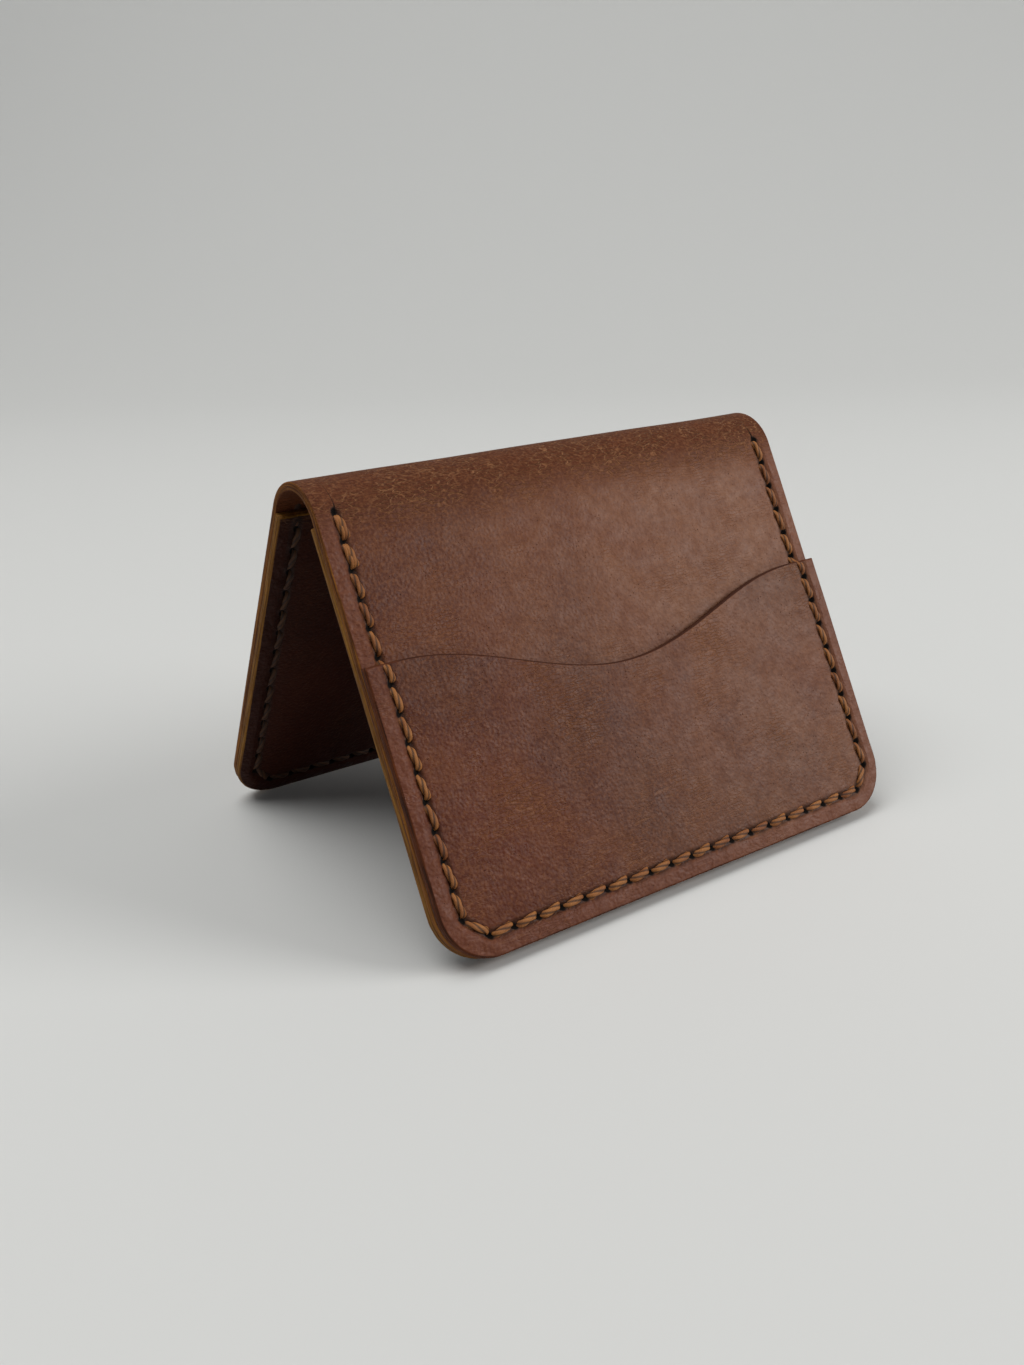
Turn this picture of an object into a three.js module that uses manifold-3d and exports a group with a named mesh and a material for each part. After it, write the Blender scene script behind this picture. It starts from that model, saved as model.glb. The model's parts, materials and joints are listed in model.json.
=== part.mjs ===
// Folding leather card holder, standing like a small tent on the free edges of its two leaves.
// Millimetres, +Z up, X along the spine, the pocketed front leaf faces -Y.
import * as THREE from 'three';
import { mergeVertices } from 'three/addons/utils/BufferGeometryUtils.js';
import Module from 'manifold-3d';

// leaves
const leafWidth = 105;            // along the spine
const leafHeight = 77.4;          // flat part of a leaf, from its free edge to the start of the spine
const cornerRadius = 9.5;         // the two free corners of each leaf
const leatherThickness = 1.4;     // every layer is cut from the same hide
const layerGap = 0.3;             // glue line and nap between two layers

// spine
const spineRadius = 9.2;          // outside of the bend
const standingAngle = 55.4;       // between the leaves as it stands
const seamGap = 0.3;              // between the two halves of the shell, on the outside
const closingRelief = 2;          // extra angle of the relief that lets the halves close

// outer card pocket
const pocketHeight = 51.5;        // free edge to pocket mouth, at the sides
const mouthDip = 10;              // how far the mouth sinks at its middle
const mouthShoulder = 6.5;        // level stretch of the mouth at each side

// inner panels
const panelShortfall = 1;         // the top edge stops this far short of the spine

// stitching
const stitchPitch = 5;            // the nearest even spacing is used in each run
const edgeMargin = 4;             // edge to stitch line
const cornerInset = 3.9;          // the stitch line's corner is cut off by this much
const topStitchRise = 0.8;        // the top hole lies this far up the bend
const stitchBelowMouth = 3.5;     // pocket mouth to the next hole below it
const stitchAboveMouth = 1.5;     // pocket mouth to the next hole above it
const threadWidth = 0.8;
const threadHeight = 0.7;
const threadGap = 0.3;            // between the thread and the leather that it lies on
const holeClearance = 0.3;        // round the thread inside an awl hole

// smoothness of the drawn curves
const arcSteps = 8;               // half the flats in one round corner or in one half of the spine
const mouthSteps = 32;            // along the pocket mouth

// looks of the hide and the thread
const shellLeather = { color: 0x6b3d2a, roughness: 0.5, metalness: 0 };
const pocketLeather = { color: 0x70402c, roughness: 0.5, metalness: 0 };
const panelLeather = { color: 0x5a3322, roughness: 0.55, metalness: 0 };
const waxedThread = { color: 0x9a6230, roughness: 0.7, metalness: 0 };

const halfWidth = leafWidth / 2;
const halfAngle = THREE.MathUtils.degToRad(standingAngle / 2);
const layerStep = leatherThickness + layerGap;
const panelHeight = leafHeight - panelShortfall;
const mouthHalfWidth = halfWidth - mouthShoulder;

const wasm = await Module();
wasm.setup();

// Leaf coordinates: x along the spine, y up the leaf from its free edge, z outwards, with z = 0 on the
// outer face of the shell.

function evenSteps(from, to) {
  const count = Math.max(1, Math.round(Math.abs(to - from) / stitchPitch));
  return Array.from({ length: count + 1 }, (_, i) => from + ((to - from) * i) / count);
}

// The awl holes of one leaf in sewing order: down the left side, along the free edge, up the right side.
// Each hole has its place and the direction in which the stitch line runs through it.
function stitchLine() {
  const column = halfWidth - edgeMargin;
  const corner = edgeMargin + cornerInset;
  const side = [
    ...evenSteps(leafHeight + topStitchRise, pocketHeight + stitchAboveMouth),
    ...evenSteps(pocketHeight - stitchBelowMouth, corner),
  ];
  const row = evenSteps(-halfWidth + corner, halfWidth - corner);
  const points = [
    ...side.map((y) => new THREE.Vector2(-column, y)),
    ...row.map((x) => new THREE.Vector2(x, edgeMargin)),
    ...side.toReversed().map((y) => new THREE.Vector2(column, y)),
  ];
  return points.map((point, i) => {
    const before = points[Math.max(i - 1, 0)];
    const after = points[Math.min(i + 1, points.length - 1)];
    return { point, along: after.clone().sub(before).normalize() };
  });
}

const holes = stitchLine();

// Four corners of a square hole or thread section, turned to the stitch line.
function squareAt({ point, along }, side) {
  const across = new THREE.Vector2(-along.y, along.x);
  return [[-1, -1], [1, -1], [1, 1], [-1, 1]].map(([a, b]) => point.clone()
    .addScaledVector(along, (a * side) / 2)
    .addScaledVector(across, (b * side) / 2));
}

const holeSide = threadWidth + 2 * holeClearance;

// A sheet with rounded free corners and a top edge given from right to left.
function sheetShape(topEdge) {
  const shape = new THREE.Shape();
  shape.moveTo(-halfWidth + cornerRadius, 0);
  shape.lineTo(halfWidth - cornerRadius, 0);
  shape.absarc(halfWidth - cornerRadius, cornerRadius, cornerRadius, -Math.PI / 2, 0);
  topEdge.forEach(([x, y]) => shape.lineTo(x, y));
  shape.absarc(-halfWidth + cornerRadius, cornerRadius, cornerRadius, Math.PI, 1.5 * Math.PI);
  return shape;
}

function toSolid(geometry) {
  const weldDistance = 1e-4;
  const plain = geometry.clone();
  plain.deleteAttribute('normal');
  plain.deleteAttribute('uv');
  const merged = mergeVertices(plain, weldDistance);
  return new wasm.Manifold(new wasm.Mesh({
    numProp: 3,
    vertProperties: new Float32Array(merged.attributes.position.array),
    triVerts: new Uint32Array(merged.index.array),
  }));
}

// Flat-shaded geometry from a list of coordinates and a list of corner numbers.
function facets(positions, corners) {
  const geometry = new THREE.BufferGeometry();
  geometry.setAttribute('position', new THREE.Float32BufferAttribute(positions, 3));
  geometry.setIndex(corners);
  const flat = geometry.toNonIndexed();
  flat.computeVertexNormals();
  return flat;
}

function toGeometry(solid) {
  const mesh = solid.getMesh();
  return facets(mesh.vertProperties, Array.from(mesh.triVerts));
}

// Takes cutters through a layer of leather whose outer face lies at the given height.
function cutThrough(layer, shapes, outerFace) {
  const past = leatherThickness;
  return shapes.reduce((rest, shape) => {
    const cutter = new THREE.ExtrudeGeometry(shape, {
      depth: leatherThickness + 2 * past, bevelEnabled: false, curveSegments: arcSteps,
    });
    return rest.subtract(toSolid(cutter.translate(0, 0, outerFace - leatherThickness - past)));
  }, layer);
}

function awlHoles(list) {
  return list.map((hole) => new THREE.Shape(squareAt(hole, holeSide)));
}

// A flat layer of leather with its awl holes.
function sheet(topEdge, sewnHoles, outerFace) {
  const geometry = new THREE.ExtrudeGeometry(sheetShape(topEdge), {
    depth: leatherThickness, bevelEnabled: false, curveSegments: arcSteps,
  });
  const layer = toSolid(geometry.translate(0, 0, outerFace - leatherThickness));
  return toGeometry(cutThrough(layer, awlHoles(sewnHoles), outerFace));
}

// Half of the shell: the flat cover and its share of the spine, swept along the spine, then trimmed to its
// round corners and pierced for the thread. The end face at the fold leans back, so that closing doesn't
// jam the two halves on the inside of the bend.
function shellHalf() {
  const innerRadius = spineRadius - leatherThickness;
  const fold = Math.PI / 2 - halfAngle;
  const reliefAngle = halfAngle + THREE.MathUtils.degToRad(closingRelief);
  const relief = seamGap / 2 + leatherThickness * Math.tan(reliefAngle);
  const outerEnd = fold - Math.asin(seamGap / 2 / spineRadius);
  const innerEnd = fold - Math.asin(relief / innerRadius);

  const profile = new THREE.Shape();
  profile.moveTo(0, -leatherThickness);
  profile.lineTo(leafHeight, -leatherThickness);
  profile.absarc(leafHeight, -spineRadius, innerRadius, Math.PI / 2, Math.PI / 2 - innerEnd, true);
  profile.absarc(leafHeight, -spineRadius, spineRadius, Math.PI / 2 - outerEnd, Math.PI / 2);
  profile.lineTo(0, 0);
  const swept = new THREE.ExtrudeGeometry(profile, {
    depth: leafWidth, bevelEnabled: false, curveSegments: arcSteps,
  });
  swept.applyMatrix4(new THREE.Matrix4().makeBasis(
    new THREE.Vector3(0, 1, 0), new THREE.Vector3(0, 0, 1), new THREE.Vector3(1, 0, 0),
  ));
  swept.translate(-halfWidth, 0, 0);

  const trims = [cornerCut(-1), cornerCut(1), ...awlHoles(holes)];
  return toGeometry(cutThrough(toSolid(swept), trims, 0));
}

// What a round corner takes off a square one.
function cornerCut(side) {
  const shape = new THREE.Shape();
  const centre = side * (halfWidth - cornerRadius);
  const past = 1;
  shape.moveTo(side * (halfWidth + past), -past);
  shape.lineTo(side * (halfWidth + past), cornerRadius);
  shape.lineTo(side * halfWidth, cornerRadius);
  shape.absarc(centre, cornerRadius, cornerRadius, side > 0 ? 0 : Math.PI, -Math.PI / 2, side > 0);
  shape.lineTo(centre, -past);
  return shape;
}

// Top edge of the pocket: a raised cosine that sinks by mouthDip at the middle.
function mouthEdge() {
  const edge = [[halfWidth, pocketHeight]];
  for (let i = 0; i <= mouthSteps; i += 1) {
    const x = mouthHalfWidth * (1 - (2 * i) / mouthSteps);
    const share = (1 + Math.cos((Math.PI * x) / mouthHalfWidth)) / 2;
    edge.push([x, pocketHeight - mouthDip * share]);
  }
  edge.push([-halfWidth, pocketHeight]);
  return edge;
}

// The thread of one leaf as a ladder: a stitch on the outer face and one on the inner face between every
// two holes, and the thread's two strands filling each hole between them.
function thread(hasPocket) {
  const inner = -leatherThickness - layerStep - threadGap;
  const shellLevel = threadGap;
  const pocketLevel = threadGap + layerStep;
  const stations = [];
  const station = (point, along, outer, post) => stations.push({ point, along, outer, post });

  holes.forEach(({ point, along }, i) => {
    const overPocket = hasPocket && point.y < pocketHeight;
    const outer = overPocket ? pocketLevel : shellLevel;
    const next = holes[i + 1];
    station(point.clone().addScaledVector(along, -threadWidth / 2), along, outer, true);
    station(point.clone().addScaledVector(along, threadWidth / 2), along, outer, false);
    const crossesMouth = hasPocket && next && (next.point.y < pocketHeight) !== overPocket;
    if (crossesMouth) {
      const lip = point.clone();
      lip.y = pocketHeight + threadGap;
      station(lip, along, pocketLevel, false);
    }
  });

  const positions = [];
  const rings = stations.map(({ point, along, outer }) => {
    const across = new THREE.Vector2(-along.y, along.x).multiplyScalar(threadWidth / 2);
    const levels = [inner - threadHeight, inner, outer, outer + threadHeight];
    return levels.map((z) => [-1, 1].map((s) => {
      positions.push(point.x + s * across.x, point.y + s * across.y, z);
      return positions.length / 3 - 1;
    }));
  });
  const corners = [];
  const quad = (a, b, c, d) => corners.push(a, b, c, a, c, d);
  rings.slice(1).forEach((there, i) => {
    const here = rings[i];
    const post = stations[i].post;
    const cells = post ? [[0, 1], [1, 2], [2, 3]] : [[0, 1], [2, 3]];
    cells.forEach(([low, high]) => {
      quad(here[low][0], there[low][0], there[high][0], here[high][0]);
      quad(here[low][1], here[high][1], there[high][1], there[low][1]);
    });
    quad(here[0][0], here[0][1], there[0][1], there[0][0]);
    quad(here[3][0], there[3][0], there[3][1], here[3][1]);
    if (!post) {
      quad(here[1][0], there[1][0], there[1][1], here[1][1]);
      quad(here[2][0], here[2][1], there[2][1], there[2][0]);
    }
    const opensAfter = post && i + 1 < rings.length - 1;
    const opensBefore = post && i > 0;
    if (opensAfter) quad(there[1][0], there[1][1], there[2][1], there[2][0]);
    if (opensBefore) quad(here[1][0], here[2][0], here[2][1], here[1][1]);
  });
  const first = rings[0];
  const last = rings.at(-1);
  [[0, 1], [1, 2], [2, 3]].forEach(([low, high]) => {
    quad(first[low][0], first[high][0], first[high][1], first[low][1]);
    quad(last[low][0], last[low][1], last[high][1], last[high][0]);
  });
  return facets(positions, corners);
}

function piece(name, geometry, look) {
  const mesh = new THREE.Mesh(geometry, new THREE.MeshStandardMaterial(look));
  mesh.name = name;
  return mesh;
}

const squareTop = [[halfWidth, panelHeight], [-halfWidth, panelHeight]];
const panelHoles = holes.filter(({ point }) => point.y < panelHeight);
const pocketHoles = holes.filter(({ point }) => point.y < pocketHeight);

// One leaf with all its layers, leaning by half the standing angle, its inner bottom edge on the ground.
function leaf(side, hasPocket) {
  const group = new THREE.Group();
  group.add(piece(`shell_${side}`, shellHalf(), shellLeather));
  group.add(piece(`${side}_inner_panel`, sheet(squareTop, panelHoles, -layerStep), panelLeather));
  group.add(piece(`${side}_stitching`, thread(hasPocket), waxedThread));
  if (hasPocket) {
    group.add(piece(`${side}_pocket`, sheet(mouthEdge(), pocketHoles, layerStep), pocketLeather));
  }
  const thickness = leatherThickness + layerStep;
  const reach = spineRadius * Math.cos(halfAngle) + leafHeight * Math.sin(halfAngle);
  group.rotation.x = Math.PI / 2 - halfAngle;
  group.position.set(0, -reach, thickness * Math.sin(halfAngle));
  const turned = new THREE.Group();
  turned.add(group);
  return turned;
}

const cardHolder = new THREE.Group();
const front = leaf('front', true);
const back = leaf('back', false);
back.rotation.z = Math.PI;
cardHolder.add(front, back);

// The origin is the middle of the footprint.
const box = new THREE.Box3().setFromObject(cardHolder, true);
cardHolder.position.y = -(box.min.y + box.max.y) / 2;

export default cardHolder;
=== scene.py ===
import json
import math

import bpy
import numpy as np
from mathutils import Matrix, Vector


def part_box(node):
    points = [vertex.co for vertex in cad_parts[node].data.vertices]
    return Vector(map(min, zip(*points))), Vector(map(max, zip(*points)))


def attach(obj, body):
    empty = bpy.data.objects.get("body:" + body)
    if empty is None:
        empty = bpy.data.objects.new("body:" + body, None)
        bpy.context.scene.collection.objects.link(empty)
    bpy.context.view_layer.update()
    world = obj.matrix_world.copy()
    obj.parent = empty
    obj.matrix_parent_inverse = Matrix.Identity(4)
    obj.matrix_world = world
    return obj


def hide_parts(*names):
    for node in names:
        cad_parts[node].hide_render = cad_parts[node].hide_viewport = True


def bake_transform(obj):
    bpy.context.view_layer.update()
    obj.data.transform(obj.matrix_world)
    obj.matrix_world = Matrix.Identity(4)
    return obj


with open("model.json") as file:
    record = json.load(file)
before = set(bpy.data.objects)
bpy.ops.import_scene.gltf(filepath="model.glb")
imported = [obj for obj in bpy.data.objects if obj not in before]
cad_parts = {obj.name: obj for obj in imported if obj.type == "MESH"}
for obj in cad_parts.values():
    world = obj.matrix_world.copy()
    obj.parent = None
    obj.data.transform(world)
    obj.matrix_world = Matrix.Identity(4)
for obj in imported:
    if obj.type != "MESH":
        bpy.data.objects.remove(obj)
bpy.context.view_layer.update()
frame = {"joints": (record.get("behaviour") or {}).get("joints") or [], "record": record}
mm = 0.001
tiny = 1e-9                  # keeps a division clear of zero


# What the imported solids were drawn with. The leaf's other sizes are read back from their boxes.
drawn = {
    "hide": 1.4,             # thickness of every layer
    "layerStep": 1.7,        # one layer to the next
    "spineRadius": 9.2,      # outside of the bend
}

fold = frame["joints"][0]
faceNormal = next(m["axis"] for m in frame["record"]["mounts"] if m["name"] == "front_pocket_face")
halfAngle = math.asin(faceNormal[2])         # a leaf against the vertical
bendRadius = drawn["spineRadius"]
bendY = fold["pos_m"][1] / mm
bendZ = fold["pos_m"][2] / mm - bendRadius
bendHalf = bendRadius * (math.pi / 2 - halfAngle)   # flat leaf to the top of the spine, along the outside


def upFromBend(z, o):
    # How far up the leaf from the start of the bend a point of height z lies, when it is o outside the
    # cover. Minus is down the leaf.
    return (z - bendZ - (o + bendRadius) * math.sin(halfAngle)) / math.cos(halfAngle)


halfWidth = (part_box("shell_front")[1].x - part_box("shell_front")[0].x) / 2 / mm
leafHeight = -upFromBend(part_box("shell_front")[0].z / mm, -drawn["hide"])
pocketHeight = leafHeight + upFromBend(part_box("front_pocket")[1].z / mm, drawn["layerStep"])
panelHeight = leafHeight + upFromBend(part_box("front_inner_panel")[1].z / mm, -drawn["layerStep"])


def bend(x, u, o):
    # x runs along the spine, u from the front leaf over the spine to the back leaf, zero on the spine's
    # top, and o outwards from the cover. Inside the bend u turns the point round the bend's centre, and
    # past it the point runs straight on along the tangent.
    turn = np.clip(u / bendRadius, halfAngle - math.pi / 2, math.pi / 2 - halfAngle)
    on = u - bendRadius * turn
    y = bendY + (bendRadius + o) * np.sin(turn) + on * np.cos(turn)
    z = bendZ + (bendRadius + o) * np.cos(turn) - on * np.sin(turn)
    return np.stack(np.broadcast_arrays(x, y, z), axis=-1)


def onLeaf(side, x, s, o):
    # The same place in a leaf's own terms: s up from its free edge, side -1 for the front leaf and 1 for
    # the back one, which is the front one turned half round.
    return bend(-side * x, side * (leafHeight + bendHalf - s), o)


sewing = {
    "pitch": 5.0,            # awl spacing, the nearest even one is used in each run
    "edgeMargin": 4.0,       # edge to stitch line
    "cornerInset": 3.9,      # the line cuts the corner by this much
    "topRise": 0.8,          # the top hole lies this far up the bend
    "belowMouth": 3.5,       # the holes next to the pocket's upper corners
    "aboveMouth": 1.5,
}


def evenSteps(start, end):
    # Evenly spaced places from start to end, as near to the pitch as they can be.
    return np.linspace(start, end, max(1, round(abs(end - start) / sewing["pitch"])) + 1)


column = halfWidth - sewing["edgeMargin"]
cornerLine = sewing["edgeMargin"] + sewing["cornerInset"]
sideHoles = np.concatenate([
    evenSteps(leafHeight + sewing["topRise"], pocketHeight + sewing["aboveMouth"]),
    evenSteps(pocketHeight - sewing["belowMouth"], cornerLine)])
rowHoles = evenSteps(cornerLine - halfWidth, halfWidth - cornerLine)
holes = np.concatenate([
    np.stack([np.full_like(sideHoles, -column), sideHoles], axis=1),
    np.stack([rowHoles, np.full_like(rowHoles, sewing["edgeMargin"])], axis=1),
    np.stack([np.full_like(sideHoles, column), sideHoles[::-1]], axis=1)])
stitchCount = len(holes) - 1


def seamPlace(x, s):
    # For each point: how many stitches along the line it lies, from the top left hole down, round and up
    # again, and how far it is beside the line, plus towards the edge. The nearest stitch counts, and
    # above the top holes the distance is taken straight from the hole.
    start, step = holes[:-1], np.diff(holes, axis=0)
    length = np.hypot(step[:, 0], step[:, 1])
    alongDir = step / length[:, None]
    along, beside = np.zeros(x.shape), np.zeros(x.shape)
    nearest = np.full(x.shape, np.inf)
    for i in range(stitchCount):
        dx, ds = x - start[i, 0], s - start[i, 1]
        reach = dx * alongDir[i, 0] + ds * alongDir[i, 1]
        across = dx * alongDir[i, 1] - ds * alongDir[i, 0]
        past = reach - np.clip(reach, 0, length[i])
        distance = np.hypot(past, across)
        closer = distance < nearest
        nearest = np.where(closer, distance, nearest)
        along = np.where(closer, i + np.clip(reach / length[i], 0, 1), along)
        beside = np.where(closer, np.where(past == 0, across, np.sign(across) * distance), beside)
    ends = (s > holes[0, 1]) & (nearest > 0)
    beside = np.where(ends, np.where(beside == 0, 1, np.sign(beside)) * nearest, beside)
    return along, beside


leather = {
    "cornerRadius": 9.5,
    "fineHalf": 2.1,         # the mesh is fine this far on both sides of a stitch line
    "fineStep": 0.36,
    "closest": 0.2,          # grid lines nearer to each other than this become one
    "edgeLines": (0.0, 0.35, 0.8, 1.3),
    "alongStitch": (0.0, 0.08, 0.2, 0.5, 0.8, 0.92),
    "bulge": 0.07,           # a burnished edge swells this much
    "roundSteps": 5,         # points on each rounded rim
    "waves": (61, 43, 29, 17),   # crest to crest, the unevenness of a hide cut by hand
}

press = {
    "channelDeep": 0.26,     # the groove that the pulled thread lies in
    "channelHalf": 0.62,
    "channelEase": 0.25,     # it is shallower by up to twice this share between two holes
    "holeDeep": 0.42,
    "holeLong": 0.55,
    "holeHalf": 0.5,
    "holeLean": 0.32,        # each hole leans across the line
    "puff": 0.16,            # the margin swells between stitches and edge
    "puffAt": 2.0,
    "puffHalf": 1.1,
    "puffDip": 0.35,         # and is lower by this share beside each hole
    "pull": 0.07,            # the leather inside the line sinks a little beside each hole
    "pullAt": 1.5,
    "pullHalf": 0.8,
}


def seamPress(x, s):
    # How far the leather is pressed in by the thread: a groove with a bell-shaped section along the line,
    # plus a leaning bell at each hole, minus a bell-shaped swelling of the margin outside the line. What
    # changes from hole to hole follows a raised cosine, one at the holes and zero halfway.
    along, beside = seamPlace(x, s)
    fromHole = (along - np.round(along)) * sewing["pitch"]
    wave = np.cos(2 * np.pi * along)
    atHole = 0.5 + 0.5 * wave
    groove = np.exp(-((beside / press["channelHalf"]) ** 2))
    groove = groove * (1 - press["channelEase"] + press["channelEase"] * wave)
    lean = beside - press["holeLean"] * fromHole
    hole = np.exp(-((fromHole / press["holeLong"]) ** 2) - (lean / press["holeHalf"]) ** 2)
    margin = np.exp(-(((beside - press["puffAt"]) / press["puffHalf"]) ** 2))
    inner = np.exp(-(((beside + press["pullAt"]) / press["pullHalf"]) ** 2))
    swell = press["puff"] * margin * (1 - press["puffDip"] * atHole)
    tug = press["pull"] * inner * atHole
    return press["channelDeep"] * groove + press["holeDeep"] * hole - swell + tug


def handmade(x, u, amount, seed):
    # Slow unevenness of a hand-cut hide: a few long sine waves in different directions, added up, with
    # heights in proportion to their lengths.
    draw = np.random.default_rng(seed)
    lift = np.zeros(np.broadcast(x, u).shape)
    for length in leather["waves"]:
        angle, phase = draw.uniform(0, np.pi), draw.uniform(0, 2 * np.pi)
        forward = x * np.cos(angle) + u * np.sin(angle)
        lift = lift + length / leather["waves"][0] * np.sin(2 * np.pi * forward / length + phase)
    return amount * lift / 2


def mergeLines(*groups):
    # Sorted grid lines with near doubles taken out. Earlier groups win over later ones.
    kept = np.array([])
    for group in groups:
        for line in np.atleast_1d(group):
            if kept.size == 0 or np.abs(kept - line).min() > leather["closest"]:
                kept = np.append(kept, line)
    return np.sort(kept)


def perStitch(run, shares):
    # Lines at the given shares of each step between neighbouring holes.
    start, step = run[:-1], np.diff(run)
    return np.append((start[:, None] + step[:, None] * np.array(shares)).ravel(), run[-1])


def band(middle, half, step):
    # Evenly spaced lines on both sides of a middle one.
    return np.linspace(middle - half, middle + half, 2 * round(half / step) + 1)


def acrossLines(inset):
    # Lines along x: fine over both stitch columns, and in step with the stitches of the bottom row.
    half = halfWidth - inset
    edges = half - np.array(leather["edgeLines"])
    fine = band(column, leather["fineHalf"], leather["fineStep"])
    row = perStitch(rowHoles, leather["alongStitch"])
    return mergeLines([half, -half], fine, -fine, row, edges, -edges)


def upLines(inset, top):
    # Lines up a leaf to the given height: fine over the bottom row, in step with the side stitches.
    edges = inset + np.array(leather["edgeLines"])
    fine = band(sewing["edgeMargin"], leather["fineHalf"], leather["fineStep"])
    side = perStitch(sideHoles[::-1], leather["alongStitch"])
    lines = mergeLines([inset, top], fine, edges, side)
    return lines[lines <= top]


def roundCorners(x, v, inset, low, high, roundHigh):
    # Squares at the corners become quarter discs: a corner point (p, q) is scaled by max(p, q) over its
    # distance, so the square's rim lands on the arc.
    radius = leather["cornerRadius"] - inset
    centreX = halfWidth - inset - radius
    p = np.clip((np.abs(x) - centreX) / radius, 0, 1)
    below = np.clip((low + radius - v) / radius, 0, 1)
    above = np.clip((v - high + radius) / radius, 0, 1) if roundHigh else np.zeros_like(v)
    q = np.maximum(below, above)
    both = (p > 0) & (q > 0)
    scale = np.where(both, np.maximum(p, q) / np.maximum(np.hypot(p, q), tiny), 1)
    newX = np.where(both, np.sign(x) * (centreX + radius * p * scale), x)
    newV = np.where(both & (below > 0), low + radius - radius * q * scale, v)
    newV = np.where(both & (above > 0), high - radius + radius * q * scale, newV)
    return newX, newV


def rim(array):
    # The grid's border in order: along the first row, up the last column, back and down again.
    return np.concatenate([array[0, :-1], array[:-1, -1], array[-1, :0:-1], array[:0:-1, 0]])


def rimNormals(x, v):
    # Outward direction of the border at each of its points: the mean of its two edges' normals, made
    # longer so that both edges move out by one. The limit keeps a sharp corner from growing a spike.
    sharpest = 0.35
    loop = np.stack([x, v], axis=1)
    edge = np.roll(loop, -1, axis=0) - loop
    edge = edge / np.maximum(np.hypot(edge[:, 0], edge[:, 1]), tiny)[:, None]
    out = np.stack([edge[:, 1], -edge[:, 0]], axis=1)
    both = out + np.roll(out, 1, axis=0)
    return both / np.maximum((both * out).sum(axis=1), sharpest)[:, None]


def newMesh(name, points, quads, material, attributes):
    # A smooth mesh from places in millimetres, with the attributes that its material reads.
    mesh = bpy.data.meshes.new(name)
    mesh.from_pydata(points * mm, [], quads)
    for key, values in attributes.items():
        isVector = values.ndim == 2
        layer = mesh.attributes.new(key, "FLOAT_VECTOR" if isVector else "FLOAT", "POINT")
        layer.data.foreach_set("vector" if isVector else "value", values.astype(np.float32).ravel())
    mesh.polygons.foreach_set("use_smooth", np.ones(len(mesh.polygons), dtype=bool))
    mesh.update()
    piece = bpy.data.objects.new(name, mesh)
    bpy.context.collection.objects.link(piece)
    mesh.materials.append(material)
    return piece


def pushRim(x, v, normals, amount):
    # The grid with its border moved outwards.
    movedX, movedV = x.copy(), v.copy()
    index = rim(np.arange(x.size).reshape(x.shape))
    movedX.ravel()[index] += amount * normals[:, 0]
    movedV.ravel()[index] += amount * normals[:, 1]
    return movedX, movedV


def sheet(name, x, v, place, level, bevels, lifts, material):
    # A closed sheet of leather over a grid of flat places (x, v): the top grid, a rounded edge carried
    # round its border, and the bottom grid. level holds the heights of the bottom and top faces, bevels
    # the rounding of the bottom and top rims, lifts how far each face is raised. The edge's profile is a
    # quarter round, a slightly swollen wall and another quarter round.
    rows, columns = x.shape
    low, high = level
    lowBevel, highBevel = bevels
    inset = max(bevels)
    normals = rimNormals(rim(x), rim(v))
    steps = leather["roundSteps"]
    quarter = np.linspace(0, np.pi / 2, steps)[1:]
    wall = np.linspace(high - highBevel, low + lowBevel, steps)[1:-1]
    wallShare = (high - highBevel - wall) / (high - highBevel - low - lowBevel)
    out = np.concatenate([
        inset - highBevel + highBevel * np.sin(quarter),
        inset + leather["bulge"] * np.sin(np.pi * wallShare),
        inset - lowBevel + lowBevel * np.sin(quarter[::-1])])
    height = np.concatenate([
        high - highBevel * (1 - np.cos(quarter)), wall, low + lowBevel * (1 - np.cos(quarter[::-1]))])
    share = (height - low) / (high - low)
    bottomLift, topLift = lifts
    ringX = rim(x) + out[:, None] * normals[:, 0]
    ringV = rim(v) + out[:, None] * normals[:, 1]
    ringO = height[:, None] + share[:, None] * rim(topLift) + (1 - share[:, None]) * rim(bottomLift)
    topX, topV = pushRim(x, v, normals, inset - highBevel)
    lowX, lowV = pushRim(x, v, normals, inset - lowBevel)
    flatX = np.concatenate([topX.ravel(), ringX.ravel(), lowX.ravel()])
    flatV = np.concatenate([topV.ravel(), ringV.ravel(), lowV.ravel()])
    flatO = np.concatenate([(high + topLift).ravel(), ringO.ravel(), (low + bottomLift).ravel()])

    grid = np.arange(x.size).reshape(rows, columns)
    top = np.stack([grid[:-1, :-1], grid[:-1, 1:], grid[1:, 1:], grid[1:, :-1]], axis=-1).reshape(-1, 4)
    rings = x.size + np.arange(ringX.size).reshape(ringX.shape)
    bottomStart = x.size + ringX.size
    loops = np.vstack([rim(grid)[None], rings, rim(grid)[None] + bottomStart])
    ahead = np.roll(loops, -1, axis=1)
    side = np.stack([loops[1:], ahead[1:], ahead[:-1], loops[:-1]], axis=-1).reshape(-1, 4)
    quads = np.vstack([top, side, top[:, ::-1] + bottomStart])

    # What the materials read: the flat place in millimetres, how much a point belongs to the cut edge,
    # and the share of the way from the bottom face to the top face.
    edge = np.zeros(len(flatX))
    edge[x.size:bottomStart] = np.repeat(np.clip(1 - (inset - out) / inset, 0, 1), ringX.shape[1])
    face = np.concatenate([np.ones(x.size), np.repeat(share, ringX.shape[1]), np.zeros(x.size)])
    return newMesh(name, place(flatX, flatV, flatO), quads, material, {
        "flat": np.stack([flatX, flatV, flatO], axis=1), "edge": edge, "face": face})


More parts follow.
